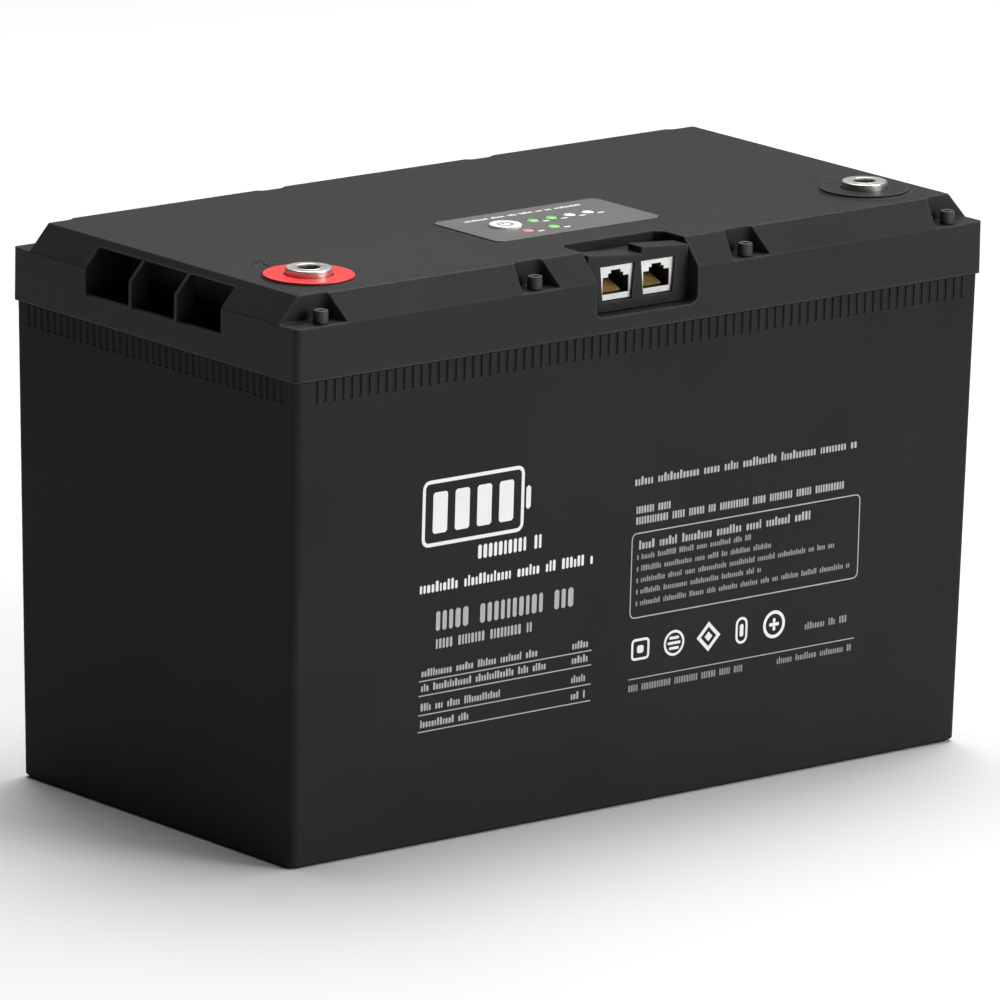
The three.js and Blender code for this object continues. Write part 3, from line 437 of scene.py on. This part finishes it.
def put(name, shape, material, body=BODY, smooth=32, weighted=True):
    """Turns a shape in millimetres into a finished object that rides on a body."""
    bmesh.ops.scale(shape, vec=(MM, MM, MM), verts=shape.verts)
    mesh = bpy.data.meshes.new(name)
    shape.to_mesh(mesh)
    shape.free()
    mesh.polygons.foreach_set("use_smooth", [True] * len(mesh.polygons))
    mesh.set_sharp_from_angle(angle=math.radians(smooth))
    mesh.materials.append(material)
    piece = bpy.data.objects.new(name, mesh)
    bpy.context.scene.collection.objects.link(piece)
    if weighted:
        modifier = piece.modifiers.new("weighted_normals", "WEIGHTED_NORMAL")
        modifier.keep_sharp = True
    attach(piece, body)
    return piece


def solid_of(node):
    """The CAD node's mesh in millimetres, with flat areas merged into single faces."""
    shape = bmesh.new()
    shape.from_mesh(NODES[node].data)
    bmesh.ops.scale(shape, vec=(1 / MM,) * 3, verts=shape.verts)
    bmesh.ops.remove_doubles(shape, verts=shape.verts, dist=0.002)
    bmesh.ops.dissolve_limit(shape, angle_limit=math.radians(0.6), verts=shape.verts, edges=shape.edges)
    return shape


def round_edges(shape, width, segments, where, clamp=True):
    """Rounds the edges sharper than 28 degrees whose middle passes the test."""
    limit = math.radians(28)
    chosen = []
    for edge in shape.edges:
        middle = (edge.verts[0].co + edge.verts[1].co) / 2
        if len(edge.link_faces) == 2 and edge.calc_face_angle(0) > limit and where(middle):
            chosen.append(edge)
    bmesh.ops.bevel(shape, geom=chosen, offset=width, offset_type="OFFSET", segments=segments,
                    profile=0.5, affect="EDGES", clamp_overlap=clamp)


def lathed(profile, centre, segments=72):
    """Revolves (radius, height) points about an upright axis; the profile starts and ends on it or closes."""
    shape = bmesh.new()
    closed = profile[0] == profile[-1]
    points = profile[:-1] if closed else profile
    loops = []
    for radius, height in points:
        if radius < 1e-6:
            loops.append([shape.verts.new((centre[0], centre[1], height))])
            continue
        loop = []
        for i in range(segments):
            angle = 2 * math.pi * i / segments
            x = centre[0] + radius * math.cos(angle)
            y = centre[1] + radius * math.sin(angle)
            loop.append(shape.verts.new((x, y, height)))
        loops.append(loop)
    pairs = list(zip(loops, loops[1:])) + ([(loops[-1], loops[0])] if closed else [])
    for lower, upper in pairs:
        for i in range(segments):
            j = (i + 1) % segments
            corners = [loop[k % len(loop)] for loop, k in ((lower, i), (lower, j), (upper, j), (upper, i))]
            unique = list(dict.fromkeys(corners))
            if len(unique) > 2:
                shape.faces.new(unique)
    bmesh.ops.recalc_face_normals(shape, faces=shape.faces)
    return shape


def arc(centre, radius, start, stop, steps):
    """Points on a round stretch of an outline, from one angle to another in degrees."""
    points = []
    for i in range(steps + 1):
        angle = math.radians(start + (stop - start) * i / steps)
        points.append((centre[0] + radius * math.cos(angle), centre[1] + radius * math.sin(angle)))
    return points


def rounded_outline(x0, x1, y0, y1, radius, steps=4):
    """A rectangle with round corners, no rounder than it has room for."""
    radius = min(radius, (x1 - x0) / 2 - 1e-3, (y1 - y0) / 2 - 1e-3)
    corners = (
        ((x1 - radius, y0 + radius), -90),
        ((x1 - radius, y1 - radius), 0),
        ((x0 + radius, y1 - radius), 90),
        ((x0 + radius, y0 + radius), 180),
    )
    outline = []
    for centre, start in corners:
        outline += arc(centre, radius, start, start + 90, steps)
    return outline


def disc_outline(x, y, radius, steps=28):
    return arc((x, y), radius, 0, 360, steps)[:-1]


def thicken(shape, outline, low, high, place, holes=()):
    """Adds a closed slab of the outline, less any holes; place maps (u, v, w) to space."""
    rims = [outline, *holes]
    rims_low, rims_high = [], []
    for rim in rims:
        rims_low.append([shape.verts.new(place(u, v, low)) for u, v in rim])
        rims_high.append([shape.verts.new(place(u, v, high)) for u, v in rim])
    made = []
    for lows, highs in zip(rims_low, rims_high):
        count = len(lows)
        for i in range(count):
            j = (i + 1) % count
            made.append(shape.faces.new((lows[i], lows[j], highs[j], highs[i])))
    for levels in (rims_low, rims_high):
        if len(levels) == 1:
            made.append(shape.faces.new(levels[0]))
            continue
        rim_edges = [
            shape.edges.get((loop[i], loop[(i + 1) % len(loop)])) for loop in levels for i in range(len(loop))
        ]
        filled = bmesh.ops.triangle_fill(shape, use_beauty=True, use_dissolve=False, edges=rim_edges)
        made += [face for face in filled["geom"] if isinstance(face, bmesh.types.BMFace)]
    bmesh.ops.recalc_face_normals(shape, faces=made)


# ---------------------------------------------------------------- case and lid


def on_case_outside(point):
    """True on edges that lie on the tapered walls or the foot of the case."""
    setback = CASE_TAPER * (1 - point.z / CASE_TOP)
    reach = 1.5
    on_end = abs(point.x) > CASE_HIGH.x - setback - reach
    on_side = abs(point.y) > CASE_HIGH.y - setback - reach
    return on_end or on_side or point.z < reach


def make_case():
    shape = solid_of("case")
    round_edges(shape, 0.28, 2, on_case_outside, clamp=False)
    piece = put("case_shell", shape, CASE_BLACK)
    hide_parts("case")


SCREWS = [name for name in NODES if name.startswith("lid_screw_")]
SCREW_X = sorted({round(middle_mm(name).x, 2) for name in SCREWS})


def on_lid_outside(point):
    """True on the lid's visible edges: its top, skirt, screw pockets, finger pockets and port bay."""
    skirt_reach = 0.2
    pocket_half, pocket_back = 13, 75.4
    grip_back, grip_half, grip_floor = 156.8, 41.2, 186.4
    bay_half, bay_back, bay_floor = 25.7, -62.5, 189.8
    if point.z > LID_TOP - 1.2:
        return True
    if abs(point.x) > LID_HIGH.x - skirt_reach or abs(point.y) > LID_HIGH.y - skirt_reach:
        return True
    near_screw = any(abs(point.x - x) < pocket_half for x in SCREW_X)
    if abs(point.y) > pocket_back and point.z > RIM_TOP - 0.1 and near_screw:
        return True
    if abs(point.x) > grip_back and abs(point.y) < grip_half and point.z > grip_floor:
        return True
    return abs(point.x) < bay_half and point.y < bay_back and point.z > bay_floor


def make_lid():
    shape = solid_of("lid")
    round_edges(shape, 0.42, 3, on_lid_outside, clamp=False)
    piece = put("lid_shell", shape, LID_BLACK)
    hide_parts("lid")


make_case()
make_lid()


# ---------------------------------------------------------------- lid screws


def make_screw(node):
    """A socket head cap screw: straight-knurled rim, broken edge and a hexagon socket."""
    low, high = box_mm(node)
    x, y = (low.x + high.x) / 2, (low.y + high.y) / 2
    head = (high.x - low.x) / 2
    top = high.z
    foot = top - 4.8
    edge = 0.45
    bore, floor = 1.6, top - 2.4
    shape = lathed(
        [
            (0, low.z),
            (1.5, low.z + 1),
            (1.5, foot),
            (head, foot),
            (head, top - edge),
            (head - edge * 0.3, top - edge * 0.3),
            (head - edge, top),
            (bore + 0.25, top),
            (bore, top - 0.2),
            (bore, floor),
            (0, floor - 0.6),
        ],
        (x, y),
        48,
    )
    flute = 0.12
    for vertex in shape.verts:
        offset = Vector((vertex.co.x - x, vertex.co.y - y, 0))
        turn = round(math.atan2(offset.y, offset.x) / (2 * math.pi) * 48)
        if abs(offset.length - head) < 1e-3 and turn % 2:
            vertex.co -= offset.normalized() * flute
        if offset.length > 0.1 and offset.length < bore + 0.05 and vertex.co.z > floor - 0.1:
            share = (turn * 7.5) % 60 - 30
            vertex.co -= offset * (1 - math.cos(math.radians(30)) / math.cos(math.radians(share)))
    piece = put(f"{node}_head", shape, SCREW_STEEL)
    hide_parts(node)


for screw in SCREWS:
    make_screw(screw)


# ---------------------------------------------------------------- terminals and rings


def make_post(name):
    """A turned post with a chamfered face and a threaded bore."""
    low, high = box_mm(f"{name}_terminal")
    centre = POSTS[name]
    flange = (high.x - low.x) / 2
    body, shoulder = 6.5, 211.5
    crest, root, pitch = 3.4, 4.0, 1.25
    top, bore_foot = high.z, high.z - 15
    rim_round, groove_depth = 0.6, 0.12
    profile = [
        (0, low.z),
        (body, low.z),
        (body, shoulder),
        (flange, shoulder),
        *[(flange - rim_round + u, top - rim_round + v) for u, v in arc((0, 0), rim_round, 0, 90, 4)],
        (5.5, top),
        (5.35, top - groove_depth),
        (4.9, top - groove_depth),
        (4.75, top),
        (root + 0.35, top),
        (root, top - 0.5),
    ]
    height = top - 0.5
    while height - pitch > bore_foot:
        profile += [(crest, height - pitch * 0.5), (root, height - pitch)]
        height -= pitch
    profile += [(crest, bore_foot), (0, bore_foot - 1.5)]
    piece = put(f"{name}_post", lathed(profile, centre, 80), NICKEL[name], smooth=36)
    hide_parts(f"{name}_terminal")


def make_ring(name, material):
    """A flat insulating ring with rounded rims and a low raised land round the post."""
    low, high = box_mm(f"{name}_ring")
    outer = (high.x - low.x) / 2
    inner = 9.1
    foot, top = low.z, high.z
    land = inner + 1.1
    rim_round, recess = 0.2, 0.06
    profile = [
        (inner, foot),
        (outer, foot),
        *[(outer - rim_round + u, top - rim_round + v) for u, v in arc((0, 0), rim_round, 0, 90, 4)],
        (outer - 2.0, top),
        (outer - 2.2, top - recess),
        (land + 0.4, top - recess),
        (land, top),
        (inner + 0.15, top),
        (inner, top - 0.15),
        (inner, foot),
    ]
    piece = put(f"{name}_cover_ring", lathed(profile, POSTS[name], 96), material)
    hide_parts(f"{name}_ring")


for terminal, look, look_slot in (("positive", RED, "red_plastic"), ("negative", LID_BLACK, "lid_plastic")):
    make_post(terminal)
    make_ring(terminal, look)
NODES["negative_lock_nut"].data.materials.clear()
NODES["negative_lock_nut"].data.materials.append(NICKEL["negative"])


# ---------------------------------------------------------------- printed marks on the front wall


class Print:
    """Thin printed marks on a plane; u runs to the right and v upwards, in millimetres."""

    def __init__(self, place, thickness=0.05):
        self.shape = bmesh.new()
        self.place = place
        self.thickness = thickness

    def area(self, outline, holes=()):
        thicken(self.shape, outline, 0.01, self.thickness, self.place, holes)

    def bar(self, u0, u1, v0, v1, radius=0.3):
        self.area(rounded_outline(u0, u1, v0, v1, radius, 1))

    def frame(self, across, upright, radius, width):
        """A rounded frame of one width between two places across and two places upright."""
        u0, u1 = across
        v0, v1 = upright
        inner = rounded_outline(u0 + width, u1 - width, v0 + width, v1 - width, radius - width)
        self.area(rounded_outline(u0, u1, v0, v1, radius), [inner])

    def line(self, u0, u1, v, width=0.45):
        self.bar(u0, u1, v - width / 2, v + width / 2, width / 2)

    def words(self, u0, u1, v0, v1, seed, capitals=False):
        """A line of words from u0 to u1, each letter of which is a plain upright block."""
        chance = random.Random(seed)
        height = v1 - v0
        gap, space = 0.16 * height, 0.6 * height
        u = u0
        while u < u1 - height * 0.3:
            for _ in range(chance.randint(3, 14)):
                width = height * chance.uniform(0.2, 0.34)
                if u + width > u1:
                    break
                tall = capitals or chance.random() < 0.3
                self.bar(u, u + width, v0, v0 + height * (1 if tall else 0.74), 0.3 * width)
                u += width + gap
            u += space

    def put(self, name, material, body=BODY):
        return put(name, self.shape, material, body, weighted=False)


def front_wall(u, v, w):
    """A point w in front of the case's front wall, which leans in towards its foot."""
    return (u, -(CASE_HIGH.y - CASE_TAPER * (1 - v / CASE_TOP)) - w, v)


def emblem(marks):
    """A plain emblem: the outline of a battery with four level bars."""
    u, v = -80.0, 126.2
    half_length, half_height, frame_width = 24.0, 12.6, 1.4
    marks.frame((u - half_length, u + half_length), (v - half_height, v + half_height), 3.2, frame_width)
    tip = u + half_length + 1
    marks.bar(tip, tip + 2.2, v - 4.4, v + 4.4, 0.8)
    for index in range(4):
        left = u - 19 + index * 10.4
        marks.bar(left, left + 6.8, v - 7.8, v + 7.8, 0.8)


def make_left_print():
    bold = Print(front_wall)
    emblem(bold)
    bold.words(-77.2, -45, 105.9, 111.2, 11, True)
    bold.words(-104.2, -20.6, 96.2, 100.4, 12)
    bold.put("print_emblem", INK_WHITE)
    text = Print(front_wall)
    text.words(-96.2, -29.6, 81.2, 88.6, 21, True)
    text.words(-96, -49.4, 74.3, 78.1, 22, True)
    rows = ((62.9, -47), (57.3, -42.6), (49.9, -62.5), (43.5, -78.8))
    for index, (height, end) in enumerate(rows):
        text.line(-103.6, -21.3, height, 0.42)
        text.words(-102.4, end, height + 1.5, height + 4.5, 30 + index)
        text.words(-30.8, -23.2, height + 1.5, height + 4.5, 40 + index)
    text.put("print_ratings", INK_PALE)


def make_icons(marks):
    """Five plain marks in a row: a tile, a barred disc, a lozenge, a capsule and a crossed ring."""
    v, radius = 59.8, 5.0
    tile = 2.2
    marks.frame((tile - 4.4, tile + 4.4), (v - 4.2, v + 4.2), 1.8, 1)
    marks.bar(tile - 1.6, tile + 1.6, v - 1.5, v + 1.5, 0.6)
    disc = 18.6
    marks.area(disc_outline(disc, v, radius), [disc_outline(disc, v, radius - 1)])
    for offset in (-2, 0, 2):
        reach = math.sqrt(3.1 ** 2 - offset ** 2)
        marks.bar(disc - reach, disc + reach, v + offset - 0.55, v + offset + 0.55, 0.3)
    lozenge = 35.4
    marks.area(disc_outline(lozenge, v, radius + 0.8, 4), [disc_outline(lozenge, v, radius - 1.2, 4)])
    marks.area(disc_outline(lozenge, v, 1.9, 4))
    capsule = 51.6
    marks.frame((capsule - 2.9, capsule + 2.9), (v - 5.2, v + 5.2), 2.8, 1)
    marks.bar(capsule - 0.9, capsule + 0.9, v - 2.4, v + 2.4, 0.5)
    ring = 67.6
    marks.area(disc_outline(ring, v, radius + 0.4), [disc_outline(ring, v, radius - 0.9)])
    marks.bar(ring - 2.4, ring + 2.4, v - 0.65, v + 0.65, 0.3)
    marks.bar(ring - 0.65, ring + 0.65, v + 0.75, v + 2.4, 0.3)
    marks.bar(ring - 0.65, ring + 0.65, v - 2.4, v - 0.75, 0.3)


def make_right_print():
    text = Print(front_wall)
    text.words(-2.8, 105.7, 123.2, 126.6, 51)
    text.words(-1.7, 15.8, 112.3, 115.2, 52, True)
    text.words(-1.7, 101.3, 108.1, 111.1, 53, True)
    text.frame((-3.6, 108.5), (72, 105), 2.4, 0.45)
    text.words(0.1, 85.6, 98.4, 101.9, 54)
    text.line(-3.2, 107.8, 48.6, 0.36)
    text.put("print_notes", INK_PALE)
    small = Print(front_wall)
    ends = ((94.5, 55.4), (90, 66.4), (85.6, 96.4), (81.2, 61), (76.7, 105))
    for index, (height, end) in enumerate(ends):
        small.bar(-0.7, 0, height, height + 1.9, 0.2)
        small.words(1.4, end, height, height + 2.3, 60 + index)
    small.words(83, 104.6, 55.4, 58.3, 71)
    small.words(-3, 53.4, 43.7, 46.4, 72, True)
    small.words(69.6, 107.2, 43.9, 46.6, 73)
    small.put("print_small_notes", INK_GREY)
    icons = Print(front_wall)
    make_icons(icons)
    icons.put("print_icons", INK_WHITE)


make_left_print()
make_right_print()


# ---------------------------------------------------------------- status panel, button and lamps


def panel_face(u, v, w):
    return (u, v, PANEL_TOP + w)


def make_panel():
    shape = solid_of("status_panel")
    round_edges(shape, 0.15, 2, lambda point: point.z > PANEL_TOP - 0.05)
    piece = put("status_panel_film", shape, FILM_GREY)
    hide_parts("status_panel")
    marks = Print(panel_face, 0.04)
    marks.words(-28.8, 27.2, -14, -11.6, 81)
    for x, y in LAMP_PLACES:
        marks.bar(x + 1.6, x + 4.6, y - 4.6, y - 3.5, 0.25)
    marks.put("print_panel", INK_WHITE)


LAMP_PITCH, LAMP_X, BACK_ROW, FRONT_ROW, LAMP_RADIUS = 8.8, -4.8, -24.0, -36.4, 2.5
LAMP_PLACES = [(LAMP_X + i * LAMP_PITCH, BACK_ROW) for i in range(4)]
LAMP_PLACES += [(LAMP_X - 12.4, FRONT_ROW), (LAMP_X, FRONT_ROW)]
LAMP_COLOURS = ("green", "green", "white", "white", "red", "green")


def make_lamps():
    """Six domed light pipes on one clear carrier under the panel."""
    carrier = bmesh.new()
    low, high = box_mm("light_guide")
    plate = rounded_outline(low.x, high.x, low.y, high.y, 1.5)
    hole = disc_outline(BUTTON.x, BUTTON.y, 5.4)
    thicken(carrier, plate, low.z, low.z + 1.2, lambda u, v, w: (u, v, w), [hole])
    piece = put("lamp_carrier", carrier, GUIDE_CLEAR)
    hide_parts("light_guide")
    for index, ((x, y), colour) in enumerate(zip(LAMP_PLACES, LAMP_COLOURS)):
        foot, top, radius = low.z + 1.25, high.z, LAMP_RADIUS
        profile = [(0, foot), (radius, foot), (radius, top - 0.25)]
        profile += [(radius * math.cos(a), top - 0.25 + 0.5 * math.sin(a)) for a in (0.4, 0.8, 1.2)]
        profile += [(0, top + 0.25)]
        put(f"lamp_{index + 1}", lathed(profile, (x, y), 32), LENS[colour])


def make_button():
    """A push button cap with a rolled rim, a dished face and a printed symbol."""
    low, high = box_mm("status_button")
    flange = (high.x - low.x) / 2
    radius = flange - 1.2
    cap = high.z
    stem, flange_foot = 1.6, cap - 2.8
    profile = [
        (0, low.z),
        (stem, low.z),
        (stem, flange_foot),
        (flange, flange_foot),
        (flange, flange_foot + 0.7),
        (radius, flange_foot + 0.7),
        *[(radius - 0.5 + u, cap - 0.5 + v) for u, v in arc((0, 0), 0.5, 0, 90, 5)],
        (radius - 1.1, cap),
        (radius - 1.5, cap - 0.12),
        (0, cap - 0.22),
    ]
    piece = put("button_cap", lathed(profile, BUTTON, 64), BUTTON_WHITE, "button")
    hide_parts("status_button")
    symbol = Print(lambda u, v, w: (BUTTON.x + u, BUTTON.y + v, cap - 0.13 + w), 0.03)
    gap = 35
    symbol.area(arc((0, 0), 3.1, 90 + gap, 450 - gap, 24) + arc((0, 0), 2.3, 450 - gap, 90 + gap, 24))
    symbol.bar(-0.4, 0.4, 0.6, 3.5, 0.3)
    symbol.put("button_symbol", BUTTON_INK, "button")


make_panel()
make_lamps()
make_button()


# ---------------------------------------------------------------- data sockets


def on_port_outside(point):
    """True on the edges of the port housing's face and of its roof."""
    roof_low, roof_depth = 209.7, 12
    on_face = point.y < PORT_FRONT + 0.05
    on_roof = point.z > roof_low and point.y < PORT_FRONT + roof_depth
    return on_face or on_roof


def make_port():
    shape = solid_of("port_housing")
    round_edges(shape, 0.3, 2, on_port_outside, clamp=False)
    piece = put("port_block", shape, PORT_BLACK)
    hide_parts("port_housing")


def make_socket(side):
    parts = (("shell", TINNED, "socket_metal", 0.12), ("insert", JACK_BLACK, "socket_plastic", 0.15))
    for part, look, slot, width in parts:
        node = f"socket_{part}_{side}"
        shape = solid_of(node)
        round_edges(shape, width, 2, lambda point: point.y < PORT_FRONT + 4)
        piece = put(f"jack_{part}_{side}", shape, look)
        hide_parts(node)


make_port()
for socket_side in ("left", "right"):
    make_socket(socket_side)


# ---------------------------------------------------------------- floor and light


def make_floor():
    recipe = Recipe("studio_floor")
    cloud = recipe.noise(3, 3, 0.5)
    recipe.colour(recipe.mix(recipe.span(cloud, 0.3, 0.7), (0.74, 0.74, 0.74), (0.75, 0.75, 0.75)))
    recipe.roughness(recipe.span(cloud, 0.3, 0.7, 0.85, 0.9))
    recipe.set(Specular_IOR_Level=0.1)
    size = 16
    mesh = bpy.data.meshes.new("floor")
    level = cad_bounds[0].z - 0.0002
    corners = [(-size, -size, level), (size, -size, level), (size, size, level), (-size, size, level)]
    mesh.from_pydata(corners, [], [(0, 1, 2, 3)])
    mesh.materials.append(recipe.material)
    floor = bpy.data.objects.new("floor", mesh)
    bpy.context.scene.collection.objects.link(floor)


def softbox(name, place, target, size, power):
    data = bpy.data.lights.new(name, "AREA")
    data.shape = "RECTANGLE"
    data.size, data.size_y = size
    data.energy = power
    light = bpy.data.objects.new(name, data)
    light.location = place
    light.rotation_mode = "QUATERNION"
    light.rotation_quaternion = (Vector(target) - Vector(place)).to_track_quat("-Z", "Y")
    bpy.context.scene.collection.objects.link(light)


WORLD_LEFT, WORLD_RIGHT = 0.0, 0.28


def make_light():
    world = bpy.data.worlds.new("studio")
    world.use_nodes = True
    tree = world.node_tree
    place = tree.nodes.new("ShaderNodeTexCoord")
    split = tree.nodes.new("ShaderNodeSeparateXYZ")
    fade = tree.nodes.new("ShaderNodeMapRange")
    limits = (("From Min", -1), ("From Max", 0.6), ("To Min", WORLD_LEFT), ("To Max", WORLD_RIGHT))
    for name, number in limits:
        fade.inputs[name].default_value = number
    tree.links.new(place.outputs["Generated"], split.inputs[0])
    tree.links.new(split.outputs["X"], fade.inputs["Value"])
    tree.links.new(fade.outputs[0], tree.nodes["Background"].inputs["Strength"])
    tree.nodes["Background"].inputs["Color"].default_value = (1, 1, 1, 1)
    bpy.context.scene.world = world
    softbox("overhead", (0.7, 0.5, 2.4), (0.2, 0, 0.1), (2.2, 2.2), 92)
    softbox("key", (1.3, -2.3, 1.1), (0, 0, 0.1), (1.3, 1.3), 48)


make_floor()
make_light()
bpy.context.scene.view_settings.view_transform = "Standard"
